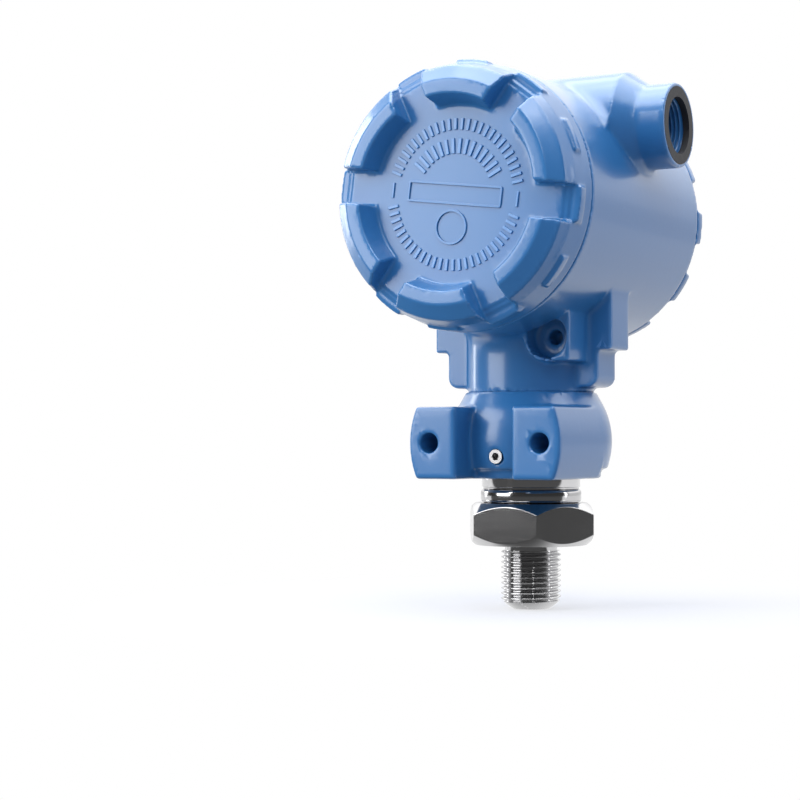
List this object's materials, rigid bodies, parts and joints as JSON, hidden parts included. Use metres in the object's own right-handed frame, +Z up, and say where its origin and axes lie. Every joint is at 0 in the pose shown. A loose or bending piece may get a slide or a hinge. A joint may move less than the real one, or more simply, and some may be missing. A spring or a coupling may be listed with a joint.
{
  "type": "pressure transmitter",
  "caption": "In-line pressure transmitter: round housing with two screwed covers and cable entries, on a lugged adapter with a threaded hexagon process connection.",
  "frame": {"origin": "on the process axis, where the full process thread starts above its end chamfer", "axes": "+Z up the process axis, -Y out of the front cover, +X out of the open cable entry"},
  "size_m": [0.119, 0.119, 0.1842],
  "materials": {
    "blue_paint": "semi-gloss baked paint",
    "polished_steel": "turned and polished stainless steel",
    "stainless": "plain stainless steel",
    "header_metal": "nickel-plated",
    "gold_plating": "gold-plated",
    "seal_rubber": "matt black",
    "potting": "cast resin",
    "board": "lacquered laminate",
    "socket_plastic": "moulded",
    "terminal_plastic": "moulded",
    "brass": "stamped",
    "plug_metal": "nickel-plated brass"
  },
  "bodies": {
    "adapter": {"process_connection": "polished_steel", "isolating_diaphragm": "stainless", "sensor_capsule": "stainless", "capsule_header": "header_metal", "header_pins": "gold_plating", "adapter_body": "blue_paint", "retaining_screw": "stainless", "neck_seal": "seal_rubber"},
    "housing": {"housing": "blue_paint", "electronics_cup": "potting", "circuit_board": "board", "board_socket": "socket_plastic", "board_screws": "stainless", "feed_through": "header_metal", "feed_pins": "gold_plating", "terminal_block": "terminal_plastic", "terminal_clamps": "brass", "terminal_screws": "stainless", "block_screws": "stainless", "inner_ground_washer": "stainless", "inner_ground_screw": "stainless", "neck_lock_screw": "stainless", "entry_seal": "seal_rubber", "plug_seal": "seal_rubber", "entry_plug": "plug_metal"},
    "front_seal": {"front_cover_seal": "seal_rubber"},
    "front_cover": {"front_cover": "blue_paint"},
    "rear_seal": {"rear_cover_seal": "seal_rubber"},
    "rear_cover": {"rear_cover": "blue_paint"}
  },
  "joints": [
    {"name": "housing_turn", "type": "hinge", "parent": "adapter", "child": "housing", "pos_m": [0, 0, 0.0722], "axis": [0, 0, 1], "range_deg": [-180, 180]},
    {"name": "front_cover_travel", "type": "slide", "parent": "housing", "child": "front_seal", "axis": [0, -1, 0], "range_m": [0, 0.012]},
    {"name": "front_cover_turn", "type": "hinge", "parent": "front_seal", "child": "front_cover", "pos_m": [0, 0, 0.1353], "axis": [0, -1, 0], "range_deg": [0, 2160]},
    {"name": "rear_cover_travel", "type": "slide", "parent": "housing", "child": "rear_seal", "axis": [0, 1, 0], "range_m": [0, 0.012]},
    {"name": "rear_cover_turn", "type": "hinge", "parent": "rear_seal", "child": "rear_cover", "pos_m": [0, 0, 0.1353], "axis": [0, 1, 0], "range_deg": [0, 2160]}
  ],
  "couplings": [
    {"joint": "front_cover_travel", "follows": "front_cover_turn", "m_per_rad": 0.0003183},
    {"joint": "rear_cover_travel", "follows": "rear_cover_turn", "m_per_rad": 0.0003183}
  ]
}
